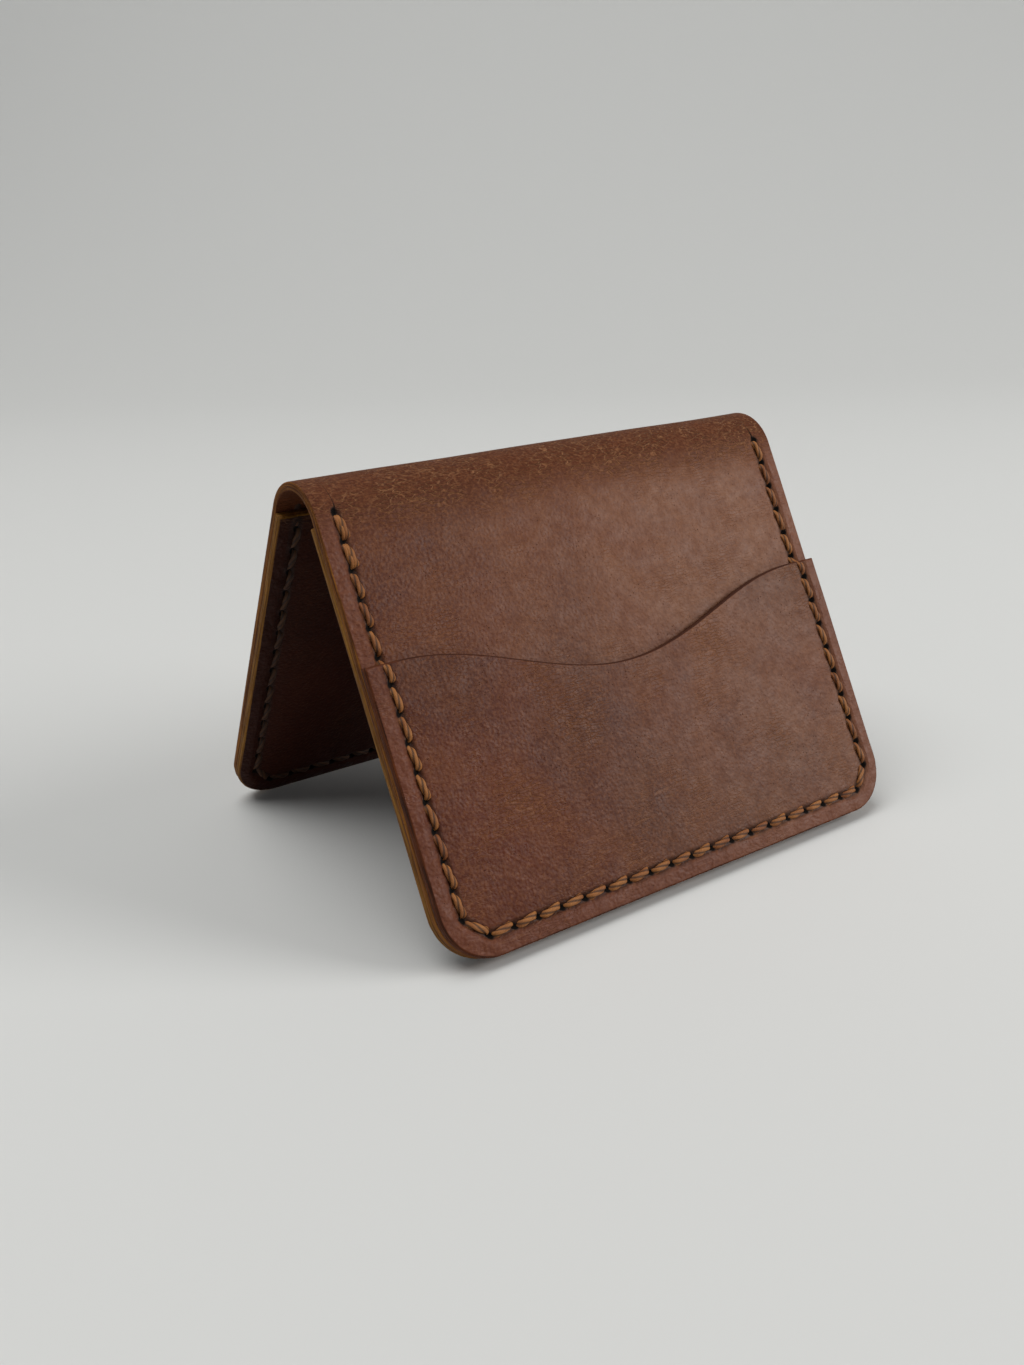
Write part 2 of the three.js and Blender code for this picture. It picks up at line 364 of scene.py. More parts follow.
def addSeam(piece, toLeaf=lambda x, s: (x, s)):
    # For the material: stitches along the line, millimetres beside it, and the distance down from the
    # top of the spine. toLeaf turns the sheet's own flat places into a leaf's.
    flat = np.zeros(len(piece.data.vertices) * 3, dtype=np.float32)
    piece.data.attributes["flat"].data.foreach_get("vector", flat)
    x, s = toLeaf(*flat.reshape(-1, 3).astype(float)[:, :2].T)
    along, beside = seamPlace(x, s)
    for key, values in {"along": along, "beside": beside, "fromSpine": leafHeight + bendHalf - s}.items():
        layer = piece.data.attributes.new(key, "FLOAT", "POINT")
        layer.data.foreach_set("value", values.astype(np.float32))


def hexColour(code):
    # sRGB hex to the linear numbers that shaders take.
    srgb = np.array([int(code[i:i + 2], 16) for i in (0, 2, 4)]) / 255
    linear = np.where(srgb <= 0.04045, srgb / 12.92, ((srgb + 0.055) / 1.055) ** 2.4)
    return (*linear.tolist(), 1.0)


def put(tree, kind, into=None, out=0, **settings):
    # Adds a node with its settings, links or fills its inputs, and gives back one of its outputs.
    node = tree.nodes.new("ShaderNode" + kind)
    for key, value in settings.items():
        setattr(node, key, value)
    for key, value in (into or {}).items():
        if isinstance(value, bpy.types.NodeSocket):
            tree.links.new(value, node.inputs[key])
        else:
            node.inputs[key].default_value = value
    return None if out is None else node.outputs[out]


def patchMask(tree, place, size, span, reach=(0.0, 1.0), detail=3.0, rough=0.5):
    # Soft patches about size millimetres wide: noise between the two values of span, spread over reach.
    noise = put(tree, "TexNoise", {"Vector": place, "Scale": 1 / size, "Detail": detail,
                                   "Roughness": rough})
    return put(tree, "MapRange", {"Value": noise, "From Min": span[0], "From Max": span[1],
                                  "To Min": reach[0], "To Max": reach[1]})


def newMaterial(name):
    material = bpy.data.materials.new(name)
    material.use_nodes = True
    material.node_tree.nodes.clear()
    return material, material.node_tree


# Sockets of a Mix node that mixes colours.
mixA, mixB, mixOut = 6, 7, 2

coverHide = {
    # The bloom colour is partly wax bloom and partly painted sheen.
    "dark": "461b08", "body": "5b290f", "light": "7a4a2a", "bloomAndSheen": "8e654c", "bend": "481f07",
    # The mouth colour paints shade on the cut edges inside the stitch line; on the cover it is the plain
    # edge colour.
    "edge": "905a1f", "edgeDark": "4a2407", "mouth": "905a1f", "margin": "724535",
    # The pore colour also paints the shade in the stitch groove.
    "flesh": "6b3a22", "crackle": "a5744c", "poreAndGrooveShade": "190a02",
    "roughness": 0.5, "specular": 0.18, "grainDeep": 0.2, "crease": 0.22, "scratches": 0.0,
    # The bloom and its painted sheen grow between these two places.
    "bloomAndSheenAmount": 0.6, "sheenFrom": -56.0, "sheenTo": 36.0,     # millimetres along the spine
}
# The pocket's dark mouth colour is partly its dark burnished edge and partly painted shade under the cover.
pocketHide = dict(coverHide, dark="391204", body="55230c", light="744527", edge="66310f", edgeDark="2d1104",
                  mouth="37190a", crease=0.4, scratches=0.15, bloomAndSheenAmount=0.5, sheenFrom=-38.0)
# The inner panels' darker colours paint the shade inside the fold, their mouth colour too.
panelHideShaded = dict(coverHide, dark="2a0b02", body="360f03", light="431a09", edge="936526", edgeDark="5c3710",
                 mouth="2b1406", margin="2c0f05", bend="2a0b02", crease=0.1, bloomAndSheenAmount=0.0)
# The painted shade at an awl hole, a dark spot: half its length and half its width in millimetres,
# and how far it lies on the edge side.
holeShade = {"long": 0.82, "half": 0.66, "beside": 0.25, "colour": "080402", "fade": (1.2, 0.75)}
# How wide one repeat of each pattern is, in millimetres. The pebble and the specks of smooth cowhide
# are about a quarter of a millimetre wide, too fine to show, so they are drawn about twice as coarse.
hideSize = {
    "clouds": 40, "blotches": 7, "specks": 0.6, "flecks": 1.5, "bloomAndSheen": 15,
    "pores": 0.85, "poreGroups": 4, "drift": 5, "creases": 0.62, "creasePatches": 13, "bendPatches": 8,
    "scratches": 0.8, "wear": 2.6, "fibres": 0.5, "pebble": 0.6, "crumple": 2.4, "gloss": 3,
}
hideMarks = {
    "drift": 1.5,            # millimetres that the creases wander
    "creaseDrawn": 0.24,     # across over along, they are drawn out along the spine
    "crackTone": 0.5,
    "slant": 62,             # degrees, the scratches against the spine
    "scratchDrawn": 0.06,
    "scratchTop": 34, "scratchLow": 12,       # millimetres above the free edge where they fade in
    "bendStart": 7.0, "bendFull": -4.0,       # millimetres past the bend's end, for its darker tone
    "bendTone": 0.75,
    "marginFrom": 0.8, "marginTo": 1.7, "marginTone": 0.42,     # millimetres outside the stitch line
    # The groove tone paints shade in the stitch groove.
    "grooveShadeFrom": 1.15, "grooveShadeTo": 0.4, "grooveShadeTone": 0.75,    # millimetres beside it
    # The mouth tone paints shade on the cut edges inside the stitch line.
    "mouthFrom": -2.0, "mouthTo": -3.0, "mouthTone": 0.85,      # a cut edge this far inside it
    "sewnFrom": -2.0, "sewnTo": 3.0,          # millimetres past the bend's end where the margin begins
    "bloomLeast": 0.5,                        # share of the bloom left in its thinnest patches
    "streaks": (0.12, 0.12, 3.2),             # repeats per millimetre along and across the layers
    "pebbleMargin": 0.16, "pebbleInside": 0.45,
    "speckRelief": 0.3, "crumpleRelief": 7.0, "crackRelief": 0.9,
    "drySpread": (-0.06, 0.1),                # roughness changes by this much in patches
    "dryBend": 0.2, "dryEdge": 0.72, "dryFlesh": 0.85,
}


def pulledHide(name, look):
    # Oiled, pulled-up vegetable-tanned cowhide, rolled smooth: brown clouds where the oil gathers, a mauve
    # bloom of wax with painted sheen that grows towards one end, a fine pebble of pores about half a
    # millimetre wide, a soft gloss, and paler cracks where it is bent. Painted shade darkens the stitch
    # groove, the awl holes and the cut edges inside the stitch line. Its cut edges are sanded and burnished
    # to an ochre band, and its flesh side is matt and fibrous.
    material, tree = newMaterial(name)
    colours = {key: hexColour(look[key]) for key in (
        "dark", "body", "light", "bloomAndSheen", "bend", "edge", "edgeDark", "mouth", "margin", "flesh",
        "crackle", "poreAndGrooveShade")}
    colours["hole"] = hexColour(holeShade["colour"])
    size, marks = hideSize, hideMarks
    flat = put(tree, "Attribute", out="Vector", attribute_name="flat")
    edge, face, along, beside, fromSpine = (
        put(tree, "Attribute", out="Fac", attribute_name=key)
        for key in ("edge", "face", "along", "beside", "fromSpine"))

    # Tone of the grain side: large clouds, smaller blotches, pale specks and dark flecks.
    clouds = patchMask(tree, flat, size["clouds"], (0.38, 0.64), detail=2.0)
    blotches = patchMask(tree, flat, size["blotches"], (0.34, 0.7), (0.0, 0.25), detail=4.0)
    speckNoise = put(tree, "TexNoise", {"Vector": flat, "Scale": 1 / size["specks"], "Detail": 2.0,
                                        "Roughness": 0.6})
    specks = put(tree, "MapRange", {"Value": speckNoise, "From Min": 0.42, "From Max": 0.64, "To Max": 0.5})
    flecks = patchMask(tree, flat, size["flecks"], (0.42, 0.68), (0.0, 0.3), rough=0.65)

    # The bloom: a pale haze of wax that has risen to the surface, in patches, with painted sheen that
    # grows towards one end; neither lies on the bend, where the stretched leather is darker.
    across = put(tree, "SeparateXYZ", {0: flat}, "X")
    # Painted sheen, growing towards one end along the spine.
    paintedSheenSide = put(tree, "MapRange", {"Value": across, "From Min": look["sheenFrom"],
                                       "From Max": look["sheenTo"]}, interpolation_type="SMOOTHSTEP")
    bloomReach = (marks["bloomLeast"] * look["bloomAndSheenAmount"], look["bloomAndSheenAmount"])
    bloomPatch = patchMask(tree, flat, size["bloomAndSheen"], (0.34, 0.62), bloomReach, detail=4.0, rough=0.6)
    bendMask = put(tree, "MapRange", {"Value": fromSpine, "From Min": bendHalf + marks["bendStart"],
                                      "From Max": bendHalf + marks["bendFull"]},
                   interpolation_type="SMOOTHSTEP")
    offBend = put(tree, "Math", {0: 1.0, 1: bendMask}, operation="SUBTRACT")
    stretched = put(tree, "Math", {0: bendMask, 1: marks["bendTone"]}, operation="MULTIPLY")
    bloomAndSheen = put(tree, "Math", {0: paintedSheenSide, 1: bloomPatch}, operation="MULTIPLY")
    bloomAndSheen = put(tree, "Math", {0: bloomAndSheen, 1: offBend}, operation="MULTIPLY")

    # Single open pores, dark, in loose groups.
    poreCells = put(tree, "TexVoronoi", {"Vector": flat, "Scale": 1 / size["pores"]}, "Distance")
    poreDots = put(tree, "MapRange", {"Value": poreCells, "From Min": 0.16, "From Max": 0.05})
    poreGroups = patchMask(tree, flat, size["poreGroups"], (0.45, 0.62), (0.0, 0.55))
    pores = put(tree, "Math", {0: poreDots, 1: poreGroups}, operation="MULTIPLY")

    # Fine creases: cell borders in patches, drawn out along the spine, paler where the wax has cracked.
    # They gather on the bend, and a few lie on the flat leather.
    drift = put(tree, "TexNoise", {"Vector": flat, "Scale": 1 / size["drift"], "Detail": 3.0}, "Color")
    drift = put(tree, "VectorMath", {0: drift, "Scale": marks["drift"]}, operation="SCALE")
    wander = put(tree, "VectorMath", {0: flat, 1: drift}, operation="ADD")
    drawnOut = put(tree, "Mapping", {"Vector": wander, "Scale": (marks["creaseDrawn"], 1.0, 1.0)})
    cells = put(tree, "TexVoronoi", {"Vector": drawnOut, "Scale": 1 / size["creases"]}, "Distance",
                feature="DISTANCE_TO_EDGE")
    creaseLines = put(tree, "MapRange", {"Value": cells, "From Min": 0.1, "From Max": 0.0})
    patches = patchMask(tree, flat, size["creasePatches"], (0.47, 0.68), (0.0, look["crease"]))
    bendPatches = patchMask(tree, flat, size["bendPatches"], (0.34, 0.58))
    bendPatches = put(tree, "Math", {0: bendPatches, 1: bendMask}, operation="MULTIPLY")
    creased = put(tree, "Math", {0: patches, 1: bendPatches}, operation="MAXIMUM")
    cracks = put(tree, "Math", {0: creaseLines, 1: creased}, operation="MULTIPLY")
    crackTone = put(tree, "Math", {0: cracks, 1: marks["crackTone"]}, operation="MULTIPLY")

    # A few pale scratches that slant across the hide near its lower corners.
    slanted = put(tree, "Mapping", {"Vector": wander, "Rotation": (0.0, 0.0, math.radians(marks["slant"])),
                                    "Scale": (marks["scratchDrawn"], 1.0, 1.0)})
    scratchLines = patchMask(tree, slanted, size["scratches"], (0.7, 0.76), detail=1.0)
    lowDown = put(tree, "MapRange", {"Value": fromSpine,
                                     "From Min": leafHeight + bendHalf - marks["scratchTop"],
                                     "From Max": leafHeight + bendHalf - marks["scratchLow"],
                                     "To Max": look["scratches"]})
    scratches = put(tree, "Math", {0: scratchLines, 1: lowDown}, operation="MULTIPLY")

    # The smooth margin outside the stitches, painted shade in the groove that they lie in, and painted
    # shade in the awl holes.
    sewn = put(tree, "MapRange", {"Value": fromSpine, "From Min": bendHalf + marks["sewnFrom"],
                                  "From Max": bendHalf + marks["sewnTo"]})
    margin = put(tree, "MapRange", {"Value": beside, "From Min": marks["marginFrom"],
                                    "From Max": marks["marginTo"], "To Max": marks["marginTone"]})
    margin = put(tree, "Math", {0: margin, 1: sewn}, operation="MULTIPLY")
    # Painted shade in the stitch groove.
    besideSize = put(tree, "Math", {0: beside}, operation="ABSOLUTE")
    groove = put(tree, "MapRange", {"Value": besideSize, "From Min": marks["grooveShadeFrom"],
                                    "From Max": marks["grooveShadeTo"], "To Max": marks["grooveShadeTone"]})
    fromHole = put(tree, "Math", {0: along, 1: 0.5, 2: -0.5}, operation="WRAP")
    lean = put(tree, "Math", {0: beside, 1: 1 / holeShade["half"],
                              2: -holeShade["beside"] / holeShade["half"]}, operation="MULTIPLY_ADD")
    lean = put(tree, "Math", {0: fromHole, 1: -press["holeLean"] * sewing["pitch"] / holeShade["half"],
                              2: lean}, operation="MULTIPLY_ADD")
    fromHole = put(tree, "Math", {0: fromHole, 1: sewing["pitch"] / holeShade["long"]},
                   operation="MULTIPLY")
    around = put(tree, "CombineXYZ", {"X": fromHole, "Y": lean})
    around = put(tree, "VectorMath", {0: around}, "Value", operation="LENGTH")
    # Painted shade in each awl hole, a dark spot.
    hole = put(tree, "MapRange", {"Value": around, "From Min": holeShade["fade"][0],
                                  "From Max": holeShade["fade"][1]})

    # These lie over each other in layers, the first one lowest.
    grain = colours["dark"]
    layers = ((clouds, "body"), (blotches, "light"), (stretched, "bend"), (bloomAndSheen, "bloomAndSheen"),
              (specks, "light"), (flecks, "dark"), (pores, "poreAndGrooveShade"), (crackTone, "crackle"),
              (scratches, "crackle"), (margin, "margin"), (groove, "poreAndGrooveShade"), (hole, "hole"))
    for share, tone in layers:
        grain = put(tree, "Mix", {0: share, mixA: grain, mixB: colours[tone]}, mixOut, data_type="RGBA")

    # Burnished edge: an ochre band with fine streaks that run along the layers, worn into the faces.
    streakPlace = put(tree, "Mapping", {"Vector": flat, "Scale": marks["streaks"]})
    streaks = patchMask(tree, streakPlace, 1.0, (0.35, 0.68))
    burnished = put(tree, "Mix", {0: streaks, mixA: colours["edgeDark"], mixB: colours["edge"]}, mixOut,
                    data_type="RGBA")
    # Painted shade on the cut edges inside the stitch line: the pocket's mouth, partly its dark burnished
    # edge, and the panels' top edges.
    mouthShade = put(tree, "MapRange", {"Value": beside, "From Min": marks["mouthFrom"],
                                     "From Max": marks["mouthTo"], "To Max": marks["mouthTone"]})
    burnished = put(tree, "Mix", {0: mouthShade, mixA: burnished, mixB: colours["mouth"]}, mixOut,
                    data_type="RGBA")
    wearNoise = put(tree, "TexNoise", {"Vector": flat, "Scale": 1 / size["wear"], "Detail": 3.0})
    worn = put(tree, "Math", {0: wearNoise, 1: 0.5, 2: edge}, operation="MULTIPLY_ADD")
    onEdge = put(tree, "MapRange", {"Value": worn, "From Min": 0.5, "From Max": 0.66})
    fibreNoise = put(tree, "TexNoise", {"Vector": flat, "Scale": 1 / size["fibres"], "Detail": 4.0})
    flesh = put(tree, "Mix", {0: fibreNoise, mixA: colours["flesh"], mixB: colours["edgeDark"]}, mixOut,
                data_type="RGBA")
    isFlesh = put(tree, "MapRange", {"Value": face, "From Min": 0.12, "From Max": 0.02,
                                     "To Max": look["fleshSide"]})
    colour = put(tree, "Mix", {0: onEdge, mixA: grain, mixB: burnished}, mixOut, data_type="RGBA")
    colour = put(tree, "Mix", {0: isFlesh, mixA: colour, mixB: flesh}, mixOut, data_type="RGBA")

    # Relief: the soft pebble of the hide, with pores, cracks and scratches sunk into it.
    pebbleCells = put(tree, "TexVoronoi", {"Vector": flat, "Scale": 1 / size["pebble"]}, "Distance",
                      feature="SMOOTH_F1")
    calm = put(tree, "MapRange", {"Value": beside, "From Min": 1.6, "From Max": 0.5,
                                  "To Min": marks["pebbleMargin"], "To Max": marks["pebbleInside"]})
    relief = put(tree, "Math", {0: pebbleCells, 1: calm}, operation="MULTIPLY")
    relief = put(tree, "Math", {0: speckNoise, 1: marks["speckRelief"], 2: relief},
                 operation="MULTIPLY_ADD")
    crumple = put(tree, "TexNoise", {"Vector": flat, "Scale": 1 / size["crumple"], "Detail": 2.0})
    crumple = put(tree, "Math", {0: crumple, 1: margin}, operation="MULTIPLY")
    relief = put(tree, "Math", {0: crumple, 1: marks["crumpleRelief"], 2: relief},
                 operation="MULTIPLY_ADD")
    relief = put(tree, "Math", {0: cracks, 1: -marks["crackRelief"], 2: relief},
                 operation="MULTIPLY_ADD")
    relief = put(tree, "Math", {0: relief, 1: pores}, operation="SUBTRACT")
    relief = put(tree, "Math", {0: relief, 1: scratches}, operation="SUBTRACT")
    bump = put(tree, "Bump", {"Height": relief, "Strength": 1.0, "Distance": look["grainDeep"] * mm})

    # Gloss: uneven over the grain, drier on the bend, on the edge and on the flesh side.
    dryReach = [look["roughness"] + change for change in marks["drySpread"]]
    dull = patchMask(tree, flat, size["gloss"], (0.3, 0.75), dryReach, detail=4.0)
    dull = put(tree, "Math", {0: bendMask, 1: marks["dryBend"], 2: dull}, operation="MULTIPLY_ADD")
    dullEdge = put(tree, "Math", {0: onEdge, 1: marks["dryEdge"]}, operation="MULTIPLY")
    dullFlesh = put(tree, "Math", {0: isFlesh, 1: marks["dryFlesh"]}, operation="MULTIPLY")
    for dry in (dullEdge, dullFlesh, hole):
        dull = put(tree, "Math", {0: dull, 1: dry}, operation="MAXIMUM")
    shader = put(tree, "BsdfPrincipled", {"Base Color": colour, "Roughness": dull, "IOR": 1.5,
                                          "Specular IOR Level": look["specular"], "Normal": bump})
    put(tree, "OutputMaterial", {"Surface": shader}, None)
    return material


waxedLinen = {
    # The groove colour paints shade in the valleys between the plies, and the inside colour paints shade on
    # the inner stitches and in the holes.
    "light": "ab7238", "body": "80481d", "groove": "1c0b03", "worn": "6b3514", "shadeInside": "1e0b03",
    "roughness": 0.6, "specular": 0.35,
    "fibre": 0.16,                 # millimetres of relief
    "fibreStretch": (0.5, 5.0, 1.0), "fibresPerMm": 2.2,
    "waxPatch": 1 / 0.22, "waxed": 0.7,
    "valleyShade": 0.9,
}


def waxedThread(name, look):
    # Three-ply linen thread drawn through beeswax: golden plies with painted shade in the valleys between
    # them, fine fibres along each ply, painted shade on the inner stitches and in the holes, and a slightly
    # greasy gloss.
    material, tree = newMaterial(name)
    strand = put(tree, "Attribute", out="Vector", attribute_name="strand")
    valley, shadeInside = (put(tree, "Attribute", out="Fac", attribute_name=key) for key in ("valley", "shadeInside"))
    fibrePlace = put(tree, "Mapping", {"Vector": strand, "Scale": look["fibreStretch"]})
    fibres = put(tree, "TexNoise", {"Vector": fibrePlace, "Scale": look["fibresPerMm"], "Detail": 3.0})
    waxy = patchMask(tree, strand, look["waxPatch"], (0.42, 0.66), (0.0, look["waxed"]), detail=2.0)
    # Painted shade in the valleys between the plies.
    valleyShadeMask = put(tree, "MapRange", {"Value": valley, "From Min": 0.45, "From Max": 1.0,
                                  "To Max": look["valleyShade"]})
    tone = hexColour(look["body"])
    for share, key in ((fibres, "light"), (waxy, "worn"), (valleyShadeMask, "groove"), (shadeInside, "shadeInside")):
        tone = put(tree, "Mix", {0: share, mixA: tone, mixB: hexColour(look[key])}, mixOut,
                   data_type="RGBA")
    bump = put(tree, "Bump", {"Height": fibres, "Strength": 0.6, "Distance": look["fibre"] * mm})
    shader = put(tree, "BsdfPrincipled", {"Base Color": tone, "Roughness": look["roughness"], "IOR": 1.5,
                                          "Specular IOR Level": look["specular"], "Normal": bump})
    put(tree, "OutputMaterial", {"Surface": shader}, None)
    return material


coverLeather = pulledHide("coverLeather", dict(coverHide, fleshSide=1.0))
pocketLeather = pulledHide("pocketLeather", dict(pocketHide, fleshSide=1.0))
# The inner panels' leather, darkened as painted shade.
panelLeatherShaded = pulledHide("panelLeatherShaded", dict(panelHideShaded, fleshSide=0.0))
linenThread = waxedThread("linenThread", waxedLinen)
print("materials made")


shellLook = {
    "level": (-1.5, 0.0),    # flesh side and grain side, outwards from the cover's face
    "bevels": (0.14, 0.38),  # rounding of the inner and the outer rim
    "bendStep": 0.62,
    "uneven": 0.1,
    "belowPocket": 3.0,      # the cover goes flat this far below the top of the pocket
    "fade": 2.0,             # over this length
    "under": 0.02,           # and rises no further than this under the pocket
    "free": 0.2,             # it may rise this much more where it is bare
    "seed": 3,
}


def leafPlace(x, u):
    # Flat shell places in a leaf's own terms: x as seen from that leaf's outside, s up from its edge.
    return np.where(u < 0, x, -x), leafHeight + bendHalf - np.abs(u)


def makeShell():
    # A flat grid over both leaves and the bend between them, carried round the bend. Its height is the
    # slow unevenness less what the thread presses in, and both fade to nothing under the pocket.
    inset = max(shellLook["bevels"])
    s = upLines(inset, leafHeight + sewing["topRise"] + leather["fineStep"])
    flatU = s - leafHeight - bendHalf
    bendLines = np.linspace(-bendHalf, bendHalf, 2 * round(bendHalf / shellLook["bendStep"]) + 1)
    x, u = np.meshgrid(acrossLines(inset), mergeLines(flatU, -flatU, bendLines))
    end = leafHeight + bendHalf - inset
    x, u = roundCorners(x, u, inset, -end, end, True)
    leafX, s = leafPlace(x, u)
    pressed = seamPress(leafX, s)
    hidden = np.clip((pocketHeight - shellLook["belowPocket"] - s) / shellLook["fade"], 0, 1) * (u < 0)
    slow = handmade(x, u, shellLook["uneven"], shellLook["seed"])
    lift = -pressed * (1 - hidden) + slow * (1 - hidden)
    highest = shellLook["under"] + shellLook["free"] * (1 - hidden)
    lift = np.where(u < 0, np.minimum(lift, highest), lift)
    piece = sheet("shell", x, u, bend, shellLook["level"], shellLook["bevels"],
                  (np.zeros_like(x), lift), coverLeather)
    addSeam(piece, leafPlace)
    return piece


shell = makeShell()
tuple(bend(0, -bendHalf, 0) * mm)
tuple(bend(0, bendHalf, 0) * mm)
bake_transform(shell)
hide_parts("shell_front", "shell_back")
print("shell made", len(shell.data.polygons))


pocketLook = {
    "level": (0.04, 1.7),    # bottom and top face, outwards from the cover's face
    "bevels": (0.14, 0.42),
    "mouthDip": 10.0,        # how far the mouth sinks at its middle
    "mouthShoulder": 6.5,    # and how far it runs level from each side
    "steady": 30.0,          # grid lines run level up to this height and follow the mouth above it
    "gape": 0.32,            # the mouth stands off the cover a little where it rises on the right
    "gapeAt": 22.0,
    "gapeHalf": 15.0,
    "gapeDeep": 9.0,         # it lies close again this far below the mouth
    "uneven": 0.1,
    "seed": 8,
    "mouthLines": (0.0, 0.3, 0.7, 1.3, 2.2, 3.4, 5.0),      # extra grid lines this far below the mouth
}
panelLook = {
    "level": (-3.1, -1.54),
    "bevels": (0.42, 0.14),
    "uneven": 0.05,
    "seed": 15,              # and one more or less for the two leaves
}


def mouthHeight(x):
    # A raised cosine that sinks by mouthDip at the middle, with a level stretch at each side.
    half = halfWidth - pocketLook["mouthShoulder"]
    share = np.where(np.abs(x) < half, (1 + np.cos(np.pi * x / half)) / 2, 0)
    return pocketHeight - pocketLook["mouthDip"] * share


def makePocket():
    # A flat grid whose lines slide from level to the mouth's curve: above the steady height each line
    # is at the same share of the way to the mouth. Its top face is the slow unevenness less what the
    # thread presses in. A bell-shaped gape lifts the mouth off the cover.
    inset = max(pocketLook["bevels"])
    top = pocketHeight - inset
    mouthLines = top - np.array(pocketLook["mouthLines"])
    lines = mergeLines([inset, top], mouthLines, upLines(inset, top))
    x, s = np.meshgrid(acrossLines(inset), lines)
    x, s = roundCorners(x, s, inset, inset, top, False)
    steady = pocketLook["steady"]
    s = np.where(s > steady, steady + (s - steady) * (mouthHeight(x) - inset - steady) / (top - steady), s)
    pressed = seamPress(x, s)
    nearMouth = np.clip(1 - (mouthHeight(x) - s) / pocketLook["gapeDeep"], 0, 1) ** 2
    bulge = np.exp(-(((x - pocketLook["gapeAt"]) / pocketLook["gapeHalf"]) ** 2))
    gape = pocketLook["gape"] * nearMouth * bulge
    lifts = (gape, gape - pressed + handmade(x, s, pocketLook["uneven"], pocketLook["seed"]))
    piece = sheet("pocket", x, s, lambda x, s, o: onLeaf(-1, x, s, o), pocketLook["level"],
                  pocketLook["bevels"], lifts, pocketLeather)
    addSeam(piece)
    return piece


def makePanel(name, side):
    # A flat grid with square upper corners. Its grain side faces inwards, so the slow unevenness and
    # what the thread presses in are both added to the lower face.
    inset = max(panelLook["bevels"])
    x, s = np.meshgrid(acrossLines(inset), upLines(inset, panelHeight - inset))
    x, s = roundCorners(x, s, inset, inset, panelHeight - inset, False)
    pressed = seamPress(x, s)
    slow = handmade(x, s, panelLook["uneven"], panelLook["seed"] + side)
    lifts = (pressed + slow, np.zeros_like(x))
    piece = sheet(name, x, s, lambda x, s, o: onLeaf(side, x, s, o), panelLook["level"],
                  panelLook["bevels"], lifts, panelLeatherShaded)
    addSeam(piece)
    return piece


pocket = makePocket()
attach(pocket, "front_leaf")
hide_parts("front_pocket")
frontPanel = makePanel("frontPanel", -1)
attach(frontPanel, "front_leaf")
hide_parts("front_inner_panel")
backPanel = makePanel("backPanel", 1)
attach(backPanel, "back_leaf")
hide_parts("back_inner_panel")
print("pocket and panels made", len(pocket.data.polygons), len(backPanel.data.polygons))


thread = {
    "radius": 0.59,
    "flattened": 0.74,       # height over width of the section
    "plies": 3,
    "plyRelief": 0.17,
    "turnLength": 7.5,       # along the thread, one full turn of the plies
    "sides": 12,
    "overSteps": 15,
    "throughSteps": 5,
    "slant": 0.4,            # a stitch starts this far on the edge side and ends as far on the inner side
    "ridge": 0.14,           # its crown over the leather
    "innerRidge": -0.12,     # the same on the inside, where the thread is pulled in deeper
    "dive": 0.8,             # its ends below the leather
    "startShare": 0.16,      # it leaves a hole this share of a stitch past the hole's middle
    "endShare": 0.06,        # and goes down this share before the next one
    "doubled": 2,            # stitches sewn twice at the start
    "doubledBeside": 0.42,
    "doubledRise": 0.12,
    "stepShare": 0.3,        # share of a stitch in which it steps over the pocket's mouth
    "stepUpAt": 0.1,
    "stepDownAt": 0.78,
    "insideShade": 0.8,       # how much painted shade the inner stitches have, and the turns in the holes
    "throughShade": 0.5,
    "strandApart": 7.0,      # keeps the fibre patterns of two strands from matching
}


def threadPath(last, phase, hasPocket, offset, rise):
    # One strand as places (x, s, o): over a stitch on the outside, down through the next hole, along the
    # inside, and up again. Over a stitch the height follows a flat-topped arch, one less the fifth power
    # of the distance from the stitch's middle, and the strand drifts from the edge side of the line to
    # its inner side. Through a hole it runs straight.
    outerLevel = np.where(hasPocket & (holes[:, 1] < pocketHeight), pocketLook["level"][1], 0.0)
    innerLevel = np.where(holes[:, 1] < panelHeight, panelLook["level"][0], shellLook["level"][0])
    step = np.diff(holes, axis=0)
    length = np.hypot(step[:, 0], step[:, 1])
    across = np.stack([step[:, 1], -step[:, 0]], axis=1) / length[:, None]
    t = np.linspace(0, 1, thread["overSteps"])
    flatTop = 1 - np.abs(2 * t - 1) ** 5
    leave, arrive = thread["startShare"], thread["endShare"]
    parts, sides, shadeInside = [], [], []
    for i in range(last):
        outside = (i + phase) % 2 == 0
        level = outerLevel if outside else innerLevel
        sign = 1 if outside else -1
        ridge = thread["ridge"] if outside else thread["innerRidge"]
        arch = (ridge + thread["dive"]) * flatTop - thread["dive"]
        beside = thread["slant"] * (1 - 2 * t) + offset
        run = leave + (1 - leave - arrive) * t
        xs = holes[i] + step[i] * run[:, None] + across[i] * beside[:, None]
        if level[i] < level[i + 1]:
            up = np.clip((t - thread["stepUpAt"]) / thread["stepShare"], 0, 1)
            base = level[i] + (level[i + 1] - level[i]) * up
        else:
            down = np.clip((thread["stepDownAt"] - t) / thread["stepShare"], 0, 1)
            base = level[i + 1] + (level[i] - level[i + 1]) * down
        o = base + sign * (arch + rise * np.sin(np.pi * t))
        parts.append(np.column_stack([xs, o]))
        sides.append(np.repeat(across[i][None], len(t), axis=0))
        # Painted shade on the inner passes and on the turns through the holes.
        shadeInside.append(np.full(len(t), 0.0 if outside else thread["insideShade"]))
        if i + 1 < last:
            nextLevel = (innerLevel if outside else outerLevel)[i + 1] + sign * thread["dive"]
            nextPlace = holes[i + 1] + step[i + 1] * leave + across[i + 1] * (thread["slant"] + offset)
            share = np.linspace(0, 1, thread["throughSteps"] + 2)[1:-1, None]
            there = np.append(nextPlace, nextLevel)
            parts.append(parts[-1][-1] + (there - parts[-1][-1]) * share)
            sides.append(across[i] + (across[i + 1] - across[i]) * share)
            shadeInside.append(np.full(len(share), thread["throughShade"]))
    return np.vstack(parts), np.vstack(sides), np.concatenate(shadeInside)


